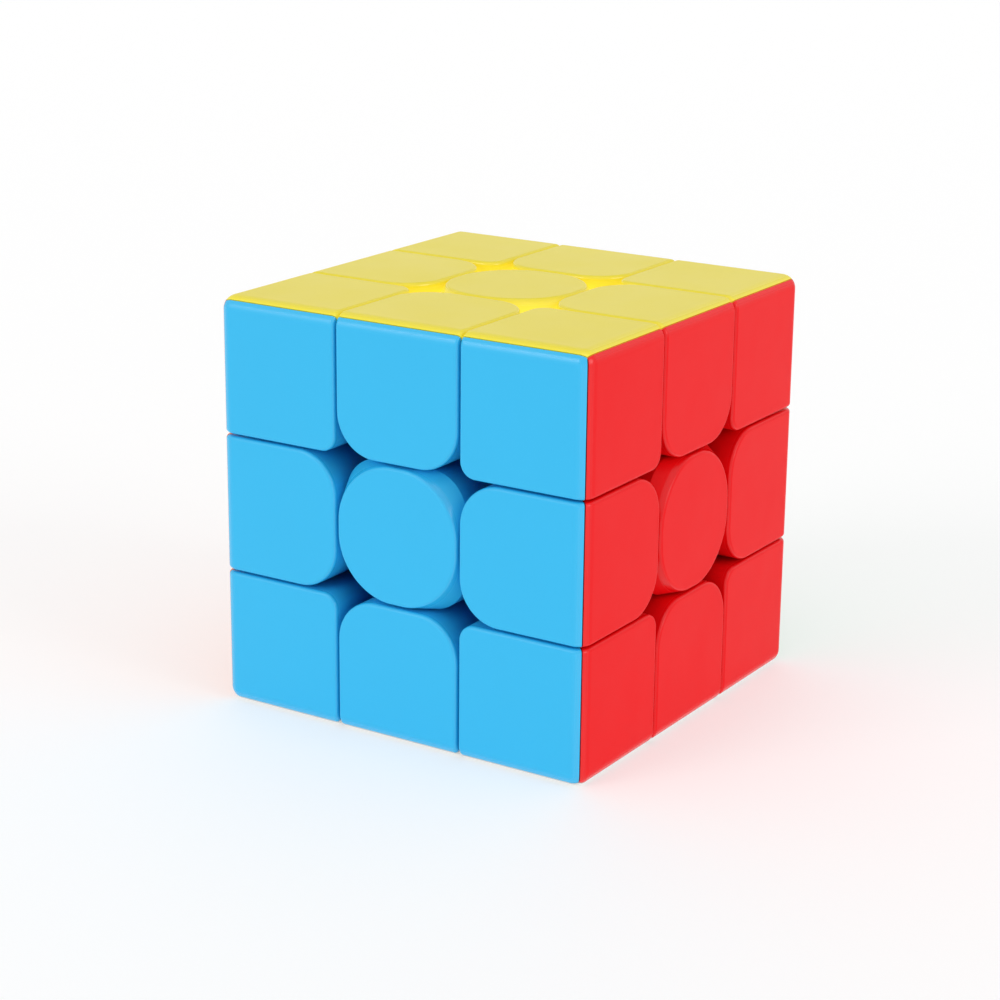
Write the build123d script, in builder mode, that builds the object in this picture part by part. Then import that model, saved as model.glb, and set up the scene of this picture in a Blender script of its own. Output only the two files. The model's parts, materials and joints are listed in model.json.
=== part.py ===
from build123d import *
import os

os.makedirs("parts", exist_ok=True)

# A 3 x 3 x 3 twisty puzzle cube, with no stickers: the plastic itself is coloured.
# Millimetres, +Z up, origin at the middle of the cube, where the six turning axes meet.
# -Y is the front, +X is the right-hand side.

# --- driving dimensions ---------------------------------------------------------------------
SIZE = 56.0                  # across the whole cube, face to face
SLICE = 18.8                 # thickness of a middle layer, a little over a third of it
SEAM = 0.30                  # gap between two neighbouring pieces
WALL = 1.5                   # thickness of the coloured shells

OUTER_RADIUS = 1.9           # rounding along the cube's twelve outer edges
RIM_RADIUS = 0.5             # rounding round the rim of every piece
PARTING = 0.14               # fine line between two coloured shells of one piece
CORNER_TILE_RADIUS = 2.2     # corner tile, at its corner nearest the middle of the face
EDGE_TILE_RADIUS = 5.8       # edge tile, at its two corners nearest the middle of the face
CENTRE_TILE_RADIUS = 9.15    # the nearly round flat top of a centre cap
CENTRE_FLAT = 0.3            # straight stretch left between the quarter arcs of that top
CENTRE_DEEP_RADIUS = 5.3     # corners of the centre cap, below its sloping flank
FLANK_DEPTH = 2.3            # depth over which the round top spreads to the squarer shape

BALL_RADIUS = 19.0           # the feet turn inside this sphere, the blocks stay outside it
HUB_RADIUS = 14.0            # the feet stay outside this sphere
FOOT_CUT = 5.4               # the layers part here inside the ball, at SLICE / 2 outside it
SHELL_END = 22.5             # the coloured shells of corners and edges end at this sphere
SPIGOT = 1.5                 # how far a foot reaches up inside its shells
SLIP = 0.05                  # clearance of a clip fit

CORE_RADIUS = 6.5            # middle of the six-armed core
ARM_RADIUS = 3.4
ARM_END = 11.4               # from the middle of the cube to the end of an arm
THREAD_HOLE = 1.25           # radius of the hole that a screw is driven into
HUB_START = 11.7             # foot of a centre base, just off the arm's end
STEM_RADIUS = 5.2            # round stem of a centre base
CAP_TOP = 1.6                # thickness of a centre cap's flat top
CAP_BORE = 7.4               # radius of the round hollow in a centre cap
FLANGE_TOP = 21.5            # flange of a centre base, which the cap sits on
TOWER_RADIUS = 4.8           # tube that holds the screw head and the spring
TOWER_TOP = 24.8
SHAFT_HOLE = 1.6             # radius of the hole that the screw passes through
SPRING_POCKET = 3.2          # radius of the pocket that holds the spring
POCKET_FLOOR = 15.2          # height of the pocket's floor

SHAFT_RADIUS = 1.2
SHAFT_START = 5.5
HEAD_RADIUS = 2.6
HEAD_START = 22.6
HEAD_HEIGHT = 1.8
RECESS_WIDTH = 0.7           # slots of the cross recess in a screw head
RECESS_LENGTH = 3.4
RECESS_DEPTH = 1.1
WASHER_RADIUS = 3.0
WASHER_HOLE = 1.35
WASHER_THICKNESS = 0.5
SPRING_RADIUS = 2.3          # to the middle of the wire
SPRING_WIRE = 0.3            # radius of the wire
SPRING_TURNS = 5

# --- values that follow from them -----------------------------------------------------------
HALF = SIZE / 2
GAP = SEAM / 2
INNER = SLICE / 2 + GAP      # inner sides of corner and edge blocks, from the cube's middle
SIDE = SLICE / 2 - GAP       # half the width of edge and centre blocks
FOOT_INNER = FOOT_CUT + GAP
FOOT_SIDE = FOOT_CUT - GAP
BLOCK_START = BALL_RADIUS + GAP
FOOT_END = BALL_RADIUS - GAP
FOOT_START = HUB_RADIUS + GAP
REACH = SIZE                 # long enough to cut right through
ORIGIN = (0, 0, 0)
LOW = (Align.CENTER, Align.CENTER, Align.MIN)

# --- the six faces: letter, outward direction and colour ------------------------------------
FACES = {
    "u": (Vector(0, 0, 1), "yellow"),
    "d": (Vector(0, 0, -1), "white"),
    "f": (Vector(0, -1, 0), "blue"),
    "b": (Vector(0, 1, 0), "green"),
    "r": (Vector(1, 0, 0), "red"),
    "l": (Vector(-1, 0, 0), "orange"),
}
CORNERS = [(v, d, s) for v in "ud" for d in "fb" for s in "rl"]
EDGES = [(v, d) for v in "ud" for d in "fb"]
EDGES += [(v, s) for v in "ud" for s in "rl"]
EDGES += [(d, s) for d in "fb" for s in "rl"]


def corner_place(face, others):
    """Turn the model corner (+X +Y +Z) so that its +Z tile lies on face, between the others."""
    normal = FACES[face][0]
    first, second = (FACES[letter][0] for letter in others)
    along = first if normal.cross(first).dot(second) > 0 else second
    return Plane(origin=ORIGIN, x_dir=along, z_dir=normal).location


def edge_place(face, other):
    """Turn the model edge (-Y +Z) so that its +Z tile lies on face and its -Y tile on other."""
    normal = FACES[face][0]
    along = normal.cross(FACES[other][0])
    return Plane(origin=ORIGIN, x_dir=along, z_dir=normal).location


def centre_place(face):
    """Turn the model centre (+Z) onto face."""
    normal = FACES[face][0]
    along = Vector(0, 1, 0) if abs(normal.X) > 0.5 else Vector(1, 0, 0)
    return Plane(origin=ORIGIN, x_dir=along, z_dir=normal).location


def export_node(name, solids):
    """Write one node: a single piece, or a group of separate solids."""
    group = Compound(label=name, children=solids)
    export_step(group, f"parts/{name}.step")


# --- shared shape helpers --------------------------------------------------------------------
def on_skin(face):
    """True for a face of the cube's outside, or of the rounding between two of them."""
    centre = face.center()
    return max(abs(centre.X), abs(centre.Y), abs(centre.Z)) > HALF - OUTER_RADIUS


def rim_edges(block):
    """The edges round a piece's visible skin: each belongs to just one face of the skin."""
    edges = [edge for face in block.faces().filter_by(on_skin) for edge in face.edges()]
    return [edge for edge in edges if sum(edge.is_same(other) for other in edges) == 1]


# --- corner piece, modelled at +X +Y +Z: block, one of its three shells, foot ---------------
with BuildPart() as corner_block:
    block_size = HALF - INNER
    with Locations((INNER, INNER, INNER)):
        Box(block_size, block_size, block_size, align=(Align.MIN, Align.MIN, Align.MIN))
    by_distance = corner_block.edges().sort_by_distance(ORIGIN)
    fillet(by_distance[:3], CORNER_TILE_RADIUS)
    fillet(corner_block.edges().sort_by_distance(ORIGIN)[-3:], OUTER_RADIUS)
    fillet(rim_edges(corner_block), RIM_RADIUS)

with BuildPart() as corner_shell:
    add(corner_block.part)
    hollow_start = INNER + WALL
    hollow_size = HALF - WALL - hollow_start
    with Locations((hollow_start, hollow_start, hollow_start)):
        Box(hollow_size, hollow_size, hollow_size,
            align=(Align.MIN, Align.MIN, Align.MIN), mode=Mode.SUBTRACT)
    Sphere(SHELL_END, mode=Mode.SUBTRACT)
    split(bisect_by=Plane(origin=ORIGIN, z_dir=(-1, 0, 1)).offset(PARTING / 2), keep=Keep.TOP)
    split(bisect_by=Plane(origin=ORIGIN, z_dir=(0, -1, 1)).offset(PARTING / 2), keep=Keep.TOP)

with BuildPart() as corner_spigot:
    spigot_start = INNER + WALL + SLIP
    with Locations((spigot_start, spigot_start, spigot_start)):
        Box(REACH, REACH, REACH, align=(Align.MIN, Align.MIN, Align.MIN))
    Sphere(SHELL_END + SPIGOT, mode=Mode.INTERSECT)

with BuildPart() as corner_toe:
    with Locations((FOOT_INNER, FOOT_INNER, FOOT_INNER)):
        Box(REACH, REACH, REACH, align=(Align.MIN, Align.MIN, Align.MIN))
    Sphere(FOOT_END, mode=Mode.INTERSECT)
    Sphere(FOOT_START, mode=Mode.SUBTRACT)

with BuildPart() as corner_foot:
    add(corner_block.part)
    Sphere(SHELL_END, mode=Mode.INTERSECT)
    add(corner_spigot.part)
    add(corner_toe.part)


# --- edge piece, modelled at -Y +Z: block, one of its two shells, foot ----------------------
def edge_form(inset):
    """An edge piece before its rims are rounded, drawn in by inset on every side."""
    with BuildPart() as upright:
        with BuildSketch(Plane.XY.offset(INNER + inset)) as outline:
            with Locations((0, -INNER - inset)):
                Rectangle(2 * (SIDE - inset), HALF - INNER - 2 * inset,
                          align=(Align.CENTER, Align.MAX))
            fillet(outline.vertices().group_by(Axis.Y)[-1], EDGE_TILE_RADIUS - inset)
        extrude(amount=HALF - INNER - 2 * inset)
    with BuildPart() as both_ways:
        add(upright.part)
        mirror(about=Plane(origin=ORIGIN, z_dir=(0, 1, 1)), mode=Mode.INTERSECT)
    return both_ways.part


with BuildPart() as edge_block:
    add(edge_form(0))
    fillet(edge_block.edges().sort_by_distance(ORIGIN)[-1], OUTER_RADIUS)
    fillet(rim_edges(edge_block), RIM_RADIUS)

with BuildPart() as edge_shell:
    add(edge_block.part)
    add(edge_form(WALL), mode=Mode.SUBTRACT)
    Sphere(SHELL_END, mode=Mode.SUBTRACT)
    split(bisect_by=Plane(origin=ORIGIN, z_dir=(0, 1, 1)).offset(PARTING / 2), keep=Keep.TOP)

with BuildPart() as edge_spigot:
    add(edge_form(WALL + SLIP))
    Sphere(SHELL_END + SPIGOT, mode=Mode.INTERSECT)

with BuildPart() as edge_neck:
    with Locations((0, -INNER, INNER)):
        Box(2 * FOOT_SIDE, REACH, REACH, align=(Align.CENTER, Align.MAX, Align.MIN))
    Sphere(BALL_RADIUS + SEAM, mode=Mode.INTERSECT)

with BuildPart() as edge_toe:
    with Locations((0, -FOOT_INNER, FOOT_INNER)):
        Box(2 * FOOT_SIDE, REACH, REACH, align=(Align.CENTER, Align.MAX, Align.MIN))
    Sphere(FOOT_END, mode=Mode.INTERSECT)

with BuildPart() as edge_dish:
    add(edge_form(2 * WALL))
    Sphere(BLOCK_START + WALL, mode=Mode.SUBTRACT)

with BuildPart() as edge_foot:
    add(edge_block.part)
    Sphere(SHELL_END, mode=Mode.INTERSECT)
    add(edge_spigot.part)
    Sphere(BLOCK_START, mode=Mode.SUBTRACT)
    add(edge_dish.part, mode=Mode.SUBTRACT)
    add(edge_neck.part)
    add(edge_toe.part)
    Sphere(FOOT_START, mode=Mode.SUBTRACT)

# --- centre piece, modelled at +Z: coloured cap and the base that turns on the core ---------
with BuildPart() as centre_cap:
    with BuildSketch(Plane.XY.offset(HUB_RADIUS)):
        RectangleRounded(2 * SIDE, 2 * SIDE, CENTRE_DEEP_RADIUS)
    flank_start = HALF - FLANK_DEPTH
    extrude(amount=flank_start - HUB_RADIUS)
    with BuildSketch(Plane.XY.offset(flank_start)) as centre_deep:
        RectangleRounded(2 * SIDE, 2 * SIDE, CENTRE_DEEP_RADIUS)
    with BuildSketch(Plane.XY.offset(HALF)) as centre_tile:
        tile_width = 2 * CENTRE_TILE_RADIUS
        RectangleRounded(tile_width, tile_width, CENTRE_TILE_RADIUS - CENTRE_FLAT / 2)
    loft(sections=[centre_deep.sketch, centre_tile.sketch], ruled=True)
    fillet(centre_cap.faces().sort_by(Axis.Z)[-1].edges(), RIM_RADIUS)
    Cylinder(CAP_BORE, HALF - CAP_TOP, align=LOW, mode=Mode.SUBTRACT)
    Sphere(BLOCK_START, mode=Mode.SUBTRACT)

with BuildPart() as centre_base:
    Cylinder(CAP_BORE - SLIP, FLANGE_TOP, align=LOW)
    Sphere(BLOCK_START, mode=Mode.SUBTRACT)
    with Locations((0, 0, HUB_START)):
        Cylinder(STEM_RADIUS, FLANGE_TOP - HUB_START, align=LOW)
        Cylinder(TOWER_RADIUS, TOWER_TOP - HUB_START, align=LOW)
    Cylinder(SHAFT_HOLE, REACH, align=LOW, mode=Mode.SUBTRACT)
    with Locations((0, 0, POCKET_FLOOR)):
        Cylinder(SPRING_POCKET, REACH, align=LOW, mode=Mode.SUBTRACT)

# --- core: a ball with six arms, each with a hole for its screw -----------------------------
with BuildPart() as core:
    Sphere(CORE_RADIUS)
    for place in [centre_place(face) for face in FACES]:
        with Locations(place):
            Cylinder(ARM_RADIUS, ARM_END, align=LOW)
    for place in [centre_place(face) for face in FACES]:
        with Locations(place * Location((0, 0, SHAFT_START - SLIP))):
            Cylinder(THREAD_HOLE, REACH, align=LOW, mode=Mode.SUBTRACT)

# --- screw, washer and spring, modelled at +Z ------------------------------------------------
with BuildPart() as screw:
    with Locations((0, 0, SHAFT_START)):
        Cylinder(SHAFT_RADIUS, HEAD_START - SHAFT_START, align=LOW)
    chamfer(screw.edges().group_by(Axis.Z)[0], SHAFT_RADIUS / 2)
    with Locations((0, 0, HEAD_START)):
        Cylinder(HEAD_RADIUS, HEAD_HEIGHT, align=LOW)
    fillet(screw.edges().group_by(Axis.Z)[-1], HEAD_HEIGHT / 3)
    with Locations((0, 0, HEAD_START + HEAD_HEIGHT - RECESS_DEPTH)):
        Box(RECESS_WIDTH, RECESS_LENGTH, HEAD_HEIGHT, align=LOW, mode=Mode.SUBTRACT)
        Box(RECESS_LENGTH, RECESS_WIDTH, HEAD_HEIGHT, align=LOW, mode=Mode.SUBTRACT)

with BuildPart() as washer:
    with Locations((0, 0, HEAD_START - WASHER_THICKNESS)):
        Cylinder(WASHER_RADIUS, WASHER_THICKNESS, align=LOW)
        Cylinder(WASHER_HOLE, WASHER_THICKNESS, align=LOW, mode=Mode.SUBTRACT)

with BuildPart() as spring:
    wire_start = POCKET_FLOOR + SPRING_WIRE + SLIP
    wire_end = HEAD_START - WASHER_THICKNESS - SPRING_WIRE - SLIP
    wire_rise = wire_end - wire_start
    with BuildLine(Plane.XY.offset(wire_start)) as wire:
        Helix(pitch=wire_rise / SPRING_TURNS, height=wire_rise, radius=SPRING_RADIUS)
    with BuildSketch(Plane(origin=wire.line @ 0, z_dir=wire.line % 0)):
        Circle(SPRING_WIRE)
    sweep(path=wire.line, is_frenet=True)

# --- the assembly ----------------------------------------------------------------------------
export_node("core", [core.part])
at_centres = [centre_place(face) for face in FACES]
export_node("tension_screws", [screw.part.moved(place) for place in at_centres])
export_node("washers", [washer.part.moved(place) for place in at_centres])
export_node("tension_springs", [spring.part.moved(place) for place in at_centres])

for face, place in zip(FACES, at_centres):
    pieces = [centre_cap.part.moved(place), centre_base.part.moved(place)]
    export_node(f"centre_{FACES[face][1]}", pieces)

for letters in EDGES:
    for face in letters:
        place = edge_place(face, letters[1] if face == letters[0] else letters[0])
        pieces = [edge_shell.part.moved(place)]
        if face == letters[0]:
            pieces.append(edge_foot.part.moved(place))
        export_node(f"edge_{''.join(letters)}_{FACES[face][1]}", pieces)

for letters in CORNERS:
    for face in letters:
        place = corner_place(face, [letter for letter in letters if letter != face])
        pieces = [corner_shell.part.moved(place)]
        if face == letters[0]:
            pieces.append(corner_foot.part.moved(place))
        export_node(f"corner_{''.join(letters)}_{FACES[face][1]}", pieces)
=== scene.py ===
import bpy
import json
import math
from mathutils import Matrix, Vector


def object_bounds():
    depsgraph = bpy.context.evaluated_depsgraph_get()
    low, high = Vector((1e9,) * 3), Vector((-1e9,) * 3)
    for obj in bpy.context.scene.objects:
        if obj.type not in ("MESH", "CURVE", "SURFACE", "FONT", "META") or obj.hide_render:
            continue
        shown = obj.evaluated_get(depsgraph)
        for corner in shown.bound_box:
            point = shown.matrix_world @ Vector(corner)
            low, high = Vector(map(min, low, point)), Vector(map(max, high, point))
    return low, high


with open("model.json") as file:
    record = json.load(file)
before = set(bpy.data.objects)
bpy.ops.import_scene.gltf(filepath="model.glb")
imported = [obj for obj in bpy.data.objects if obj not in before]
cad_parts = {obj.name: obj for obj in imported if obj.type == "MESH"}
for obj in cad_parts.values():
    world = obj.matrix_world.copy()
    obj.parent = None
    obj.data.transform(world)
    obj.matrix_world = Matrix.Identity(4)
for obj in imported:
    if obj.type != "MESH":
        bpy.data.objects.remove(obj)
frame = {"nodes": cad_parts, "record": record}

cad_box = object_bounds()
LOW, HIGH = cad_box
CENTRE = (LOW + HIGH) / 2
HALF = (HIGH.x - LOW.x) / 2

# --- mouldings: linear colour of the skin, colour deep in the gaps (painted shade; painted bounced light for yellow), shine, and painted glow in the gaps ----
PLASTICS = {
    "yellow_plastic": ((0.82, 0.69, 0.018), (0.98, 0.88, 0.105), 0.40, 0.44),
    "white_plastic": ((0.80, 0.80, 0.77), (0.68, 0.68, 0.65), 0.32, 0.0),
    "blue_plastic": ((0.030, 0.50, 0.87), (0.008, 0.24, 0.64), 0.32, 0.0),
    "green_plastic": ((0.008, 0.38, 0.06), (0.002, 0.14, 0.02), 0.32, 0.0),
    "red_plastic": ((0.89, 0.004, 0.007), (0.60, 0.002, 0.004), 0.12, 0.0),
    "orange_plastic": ((0.90, 0.17, 0.004), (0.60, 0.08, 0.002), 0.25, 0.0),
}
RIM_END = 0.0007              # metres below the cube's skin where the rounded rims end
FLANK_END = 0.0022            # the skin's colour reaches down to here
WALL_END = 0.0065             # from here down, the sides of the gaps are fully in the painted gap colour: painted shade, and for yellow painted bounced light

# --- camera: where the photographer stood ------------------------------------------------------
CAMERA_AZIMUTH = 32.2         # degrees, from the front face towards the right-hand face
CAMERA_ELEVATION = 16.71
CAMERA_DISTANCE = 0.33565     # metres from the cube's middle
CAMERA_ROLL = 0.57            # degrees
CAMERA_LENS = 88.95           # mm
SENSOR_WIDTH = 36.0           # mm
AIM_LEFT = 0.00186            # how far the aim passes to the left of the cube's middle
AIM_BELOW = 0.00192           # and below it

# --- floor and light -----------------------------------------------------------------------------
FLOOR_WIDTH = 8.0             # metres
FLOOR_TONE = 0.62
FLOOR_LIFT = 0.40             # light that the floor adds of its own, to come out near white
SKY_STRENGTH = 0.72
SOFTBOXES = {                 # azimuth, elevation, apparent width, all in degrees, and strength
    "front_left_softbox": (-25, 22, 30, 0.62),
    "right_softbox": (88, 22, 30, 0.52),
    "overhead_softbox": (30, 78, 40, 0.20),
    "rear_softbox": (212, 17, 40, 0.14),
}


def direction(azimuth, elevation):
    """Unit vector from the cube towards a place seen at these angles; azimuth 90 is +X."""
    a, e = math.radians(azimuth), math.radians(elevation)
    return Vector((math.sin(a) * math.cos(e), -math.cos(a) * math.cos(e), math.sin(e)))


def set_inputs(node, **values):
    for name, value in values.items():
        node.inputs[name.replace("_", " ")].default_value = value


def new_material(name):
    material = bpy.data.materials.new(name)
    material.use_nodes = True
    return material, material.node_tree.nodes, material.node_tree.links


def noise(nodes, links, coords, scale, detail=3.0, roughness=0.5):
    """Noise on object coordinates, so that it stays on the piece when the piece turns."""
    texture = nodes.new("ShaderNodeTexNoise")
    set_inputs(texture, Scale=scale, Detail=detail, Roughness=roughness)
    links.new(coords.outputs["Object"], texture.inputs["Vector"])
    return texture.outputs["Fac"]


def remap(nodes, links, value, low, high):
    """Stretch a value of 0 to 1 onto low to high."""
    node = nodes.new("ShaderNodeMapRange")
    set_inputs(node, To_Min=low, To_Max=high)
    links.new(value, node.inputs["Value"])
    return node.outputs["Result"]


def depth_below_skin(nodes, links, coords):
    """How far a point lies inside the cube's six flat sides, in metres, before any turn."""
    absolute = nodes.new("ShaderNodeVectorMath")
    absolute.operation = "ABSOLUTE"
    links.new(coords.outputs["Object"], absolute.inputs[0])
    axes = nodes.new("ShaderNodeSeparateXYZ")
    links.new(absolute.outputs["Vector"], axes.inputs["Vector"])
    largest = axes.outputs["X"]
    for axis in "YZ":
        greater = nodes.new("ShaderNodeMath")
        greater.operation = "MAXIMUM"
        links.new(largest, greater.inputs[0])
        links.new(axes.outputs[axis], greater.inputs[1])
        largest = greater.outputs["Value"]
    depth = nodes.new("ShaderNodeMath")
    depth.operation = "SUBTRACT"
    depth.inputs[0].default_value = HALF
    links.new(largest, depth.inputs[1])
    return depth.outputs["Value"]


def band(nodes, links, value, stops):
    """A ramp over the first WALL_END of depth: stops are (depth, grey)."""
    scaled = nodes.new("ShaderNodeMath")
    scaled.operation = "DIVIDE"
    scaled.inputs[1].default_value = WALL_END
    links.new(value, scaled.inputs[0])
    ramp = nodes.new("ShaderNodeValToRGB")
    links.new(scaled.outputs["Value"], ramp.inputs["Fac"])
    elements = ramp.color_ramp.elements
    for index, (depth, grey) in enumerate(stops):
        position = depth / WALL_END
        element = elements[index] if index < 2 else elements.new(position)
        element.position = position
        element.color = (grey, grey, grey, 1)
    return ramp.outputs["Color"]


def blend(nodes, links, factor, first, second):
    """Mix two colours; each is a socket or an (r, g, b)."""
    mix = nodes.new("ShaderNodeMix")
    mix.data_type = "RGBA"
    links.new(factor, mix.inputs["Factor"])
    for socket, colour in ((mix.inputs["A"], first), (mix.inputs["B"], second)):
        if isinstance(colour, tuple):
            socket.default_value = (*colour, 1)
        else:
            links.new(colour, socket)
    return mix.outputs["Result"]


def moulded_plastic(name, colour, painted_gap_shading, shine, glow):
    """Satin moulded plastic: fine spark texture, faint flow marks, rims polished by fingers,
    painted shade in the gaps (painted bounced light and glow for yellow).
    """
    material, nodes, links = new_material(name)
    shader = nodes["Principled BSDF"]
    set_inputs(shader, IOR=1.5)
    coords = nodes.new("ShaderNodeTexCoord")
    depth = depth_below_skin(nodes, links, coords)

    flow = remap(nodes, links, noise(nodes, links, coords, 70.0), 0.0, 0.6)
    duller = tuple(channel * 0.95 for channel in colour)
    body = blend(nodes, links, flow, colour, duller)
    # painted shade: from FLANK_END to WALL_END of depth the base colour turns to the gap colour,
    # darker for most colours and brighter for yellow, standing in for shade and bounced light in
    # the gaps
    painted_gap_mask = band(nodes, links, depth, [(0.0, 0.0), (FLANK_END, 0.0), (WALL_END, 1.0)])
    links.new(blend(nodes, links, painted_gap_mask, body, painted_gap_shading), shader.inputs["Base Color"])

    # painted glow: the gap sides give off light of their own, strongest at FLANK_END, standing in
    # for light that the translucent plastic passes on into its gaps
    if glow:
        stops = [(0.0, 0.0), (RIM_END, 0.45), (FLANK_END, 1.0), (WALL_END, 0.0)]
        inside = band(nodes, links, depth, stops)
        shader.inputs["Emission Color"].default_value = (*painted_gap_shading, 1)
        links.new(remap(nodes, links, inside, 0.0, glow), shader.inputs["Emission Strength"])

    stops = [(0.0, 0.0), (0.3 * RIM_END, 1.0), (RIM_END, 1.0), (1.3 * RIM_END, 0.0)]
    rims = band(nodes, links, depth, stops)
    cloud = remap(nodes, links, noise(nodes, links, coords, 110.0), 0.34, 0.46)
    polish = nodes.new("ShaderNodeMath")
    polish.operation = "SUBTRACT"
    links.new(cloud, polish.inputs[0])
    links.new(remap(nodes, links, rims, 0.0, 0.16), polish.inputs[1])
    links.new(polish.outputs["Value"], shader.inputs["Roughness"])
    links.new(remap(nodes, links, rims, shine, shine + 0.35), shader.inputs["Specular IOR Level"])

    grain = noise(nodes, links, coords, 5200.0, detail=2.0)
    fine = nodes.new("ShaderNodeBump")
    set_inputs(fine, Strength=0.07, Distance=0.00002)
    links.new(grain, fine.inputs["Height"])
    sink = nodes.new("ShaderNodeBump")
    set_inputs(sink, Strength=0.05, Distance=0.001)
    links.new(noise(nodes, links, coords, 160.0, detail=1.0), sink.inputs["Height"])
    links.new(fine.outputs["Normal"], sink.inputs["Normal"])
    links.new(sink.outputs["Normal"], shader.inputs["Normal"])
    return material


def core_plastic():
    """Matt, undyed engineering plastic of the core."""
    material, nodes, links = new_material("core_plastic")
    shader = nodes["Principled BSDF"]
    set_inputs(shader, IOR=1.5, Specular_IOR_Level=0.35)
    coords = nodes.new("ShaderNodeTexCoord")
    patches = remap(nodes, links, noise(nodes, links, coords, 240.0), 0.0, 1.0)
    tone = blend(nodes, links, patches, (0.030, 0.030, 0.032), (0.044, 0.044, 0.046))
    links.new(tone, shader.inputs["Base Color"])
    matt = remap(nodes, links, noise(nodes, links, coords, 900.0), 0.5, 0.65)
    links.new(matt, shader.inputs["Roughness"])
    return material


def steel():
    """Zinc-plated steel of the screws, washers and springs, with fine drawing marks."""
    material, nodes, links = new_material("steel")
    shader = nodes["Principled BSDF"]
    set_inputs(shader, Metallic=1.0)
    coords = nodes.new("ShaderNodeTexCoord")
    patches = remap(nodes, links, noise(nodes, links, coords, 900.0), 0.0, 1.0)
    tone = blend(nodes, links, patches, (0.52, 0.53, 0.55), (0.66, 0.67, 0.68))
    links.new(tone, shader.inputs["Base Color"])
    satin = remap(nodes, links, noise(nodes, links, coords, 2500.0), 0.24, 0.42)
    links.new(satin, shader.inputs["Roughness"])
    return material


def give(material, slot):
    """Put a material on every CAD node whose record slot is slot."""
    for part in frame["record"]["subparts"]:
        if part["material_slot"] == slot:
            frame["nodes"][part["node"]].data.materials[0] = material


for slot, properties in PLASTICS.items():
    give(moulded_plastic(slot, *properties), slot)
give(core_plastic(), "core_plastic")
give(steel(), "steel")


# --- the scene -----------------------------------------------------------------------------------
def plane(name, width, location):
    half = width / 2
    mesh = bpy.data.meshes.new(name)
    corners = [(-half, -half, 0), (half, -half, 0), (half, half, 0), (-half, half, 0)]
    mesh.from_pydata(corners, [], [(0, 1, 2, 3)])
    thing = bpy.data.objects.new(name, mesh)
    thing.location = location
    bpy.context.scene.collection.objects.link(thing)
    return thing


floor = plane("floor", FLOOR_WIDTH, (0, 0, LOW.z))
floor_material = new_material("floor_paper")[0]
paper = floor_material.node_tree.nodes["Principled BSDF"]
set_inputs(paper, Roughness=0.9, Base_Color=(FLOOR_TONE, FLOOR_TONE, FLOOR_TONE, 1))
set_inputs(paper, Emission_Color=(1, 1, 1, 1), Emission_Strength=FLOOR_LIFT)
floor.data.materials.append(floor_material)


def soft_sun(name, azimuth, elevation, spread, strength):
    """A large, far softbox: even light from one side."""
    light = bpy.data.lights.new(name, "SUN")
    light.energy = strength
    light.angle = math.radians(spread)
    lamp = bpy.data.objects.new(name, light)
    towards = direction(azimuth, elevation)
    lamp.location = CENTRE + towards
    lamp.rotation_euler = towards.to_track_quat("Z", "Y").to_euler()
    bpy.context.scene.collection.objects.link(lamp)


for name, settings in SOFTBOXES.items():
    soft_sun(name, *settings)

world = bpy.data.worlds.new("studio")
bpy.context.scene.world = world
world.use_nodes = True
set_inputs(world.node_tree.nodes["Background"], Color=(1, 1, 1, 1), Strength=SKY_STRENGTH)
bpy.context.scene.view_settings.view_transform = "Standard"

camera_data = bpy.data.cameras.new("camera")
camera_data.lens = CAMERA_LENS
camera_data.sensor_width = SENSOR_WIDTH
camera_data.clip_start = 0.01
camera_data.clip_end = 20.0
camera = bpy.data.objects.new("camera", camera_data)
bpy.context.scene.collection.objects.link(camera)
back = direction(CAMERA_AZIMUTH, CAMERA_ELEVATION)
right = Vector((0, 0, 1)).cross(back).normalized()
up = back.cross(right)
place = CENTRE + back * CAMERA_DISTANCE
aim = CENTRE - right * AIM_LEFT - up * AIM_BELOW
look = (place - aim).normalized().to_track_quat("Z", "Y").to_matrix().to_4x4()
roll = Matrix.Rotation(math.radians(CAMERA_ROLL), 4, "Z")
camera.matrix_world = Matrix.Translation(place) @ look @ roll
bpy.context.scene.camera = camera
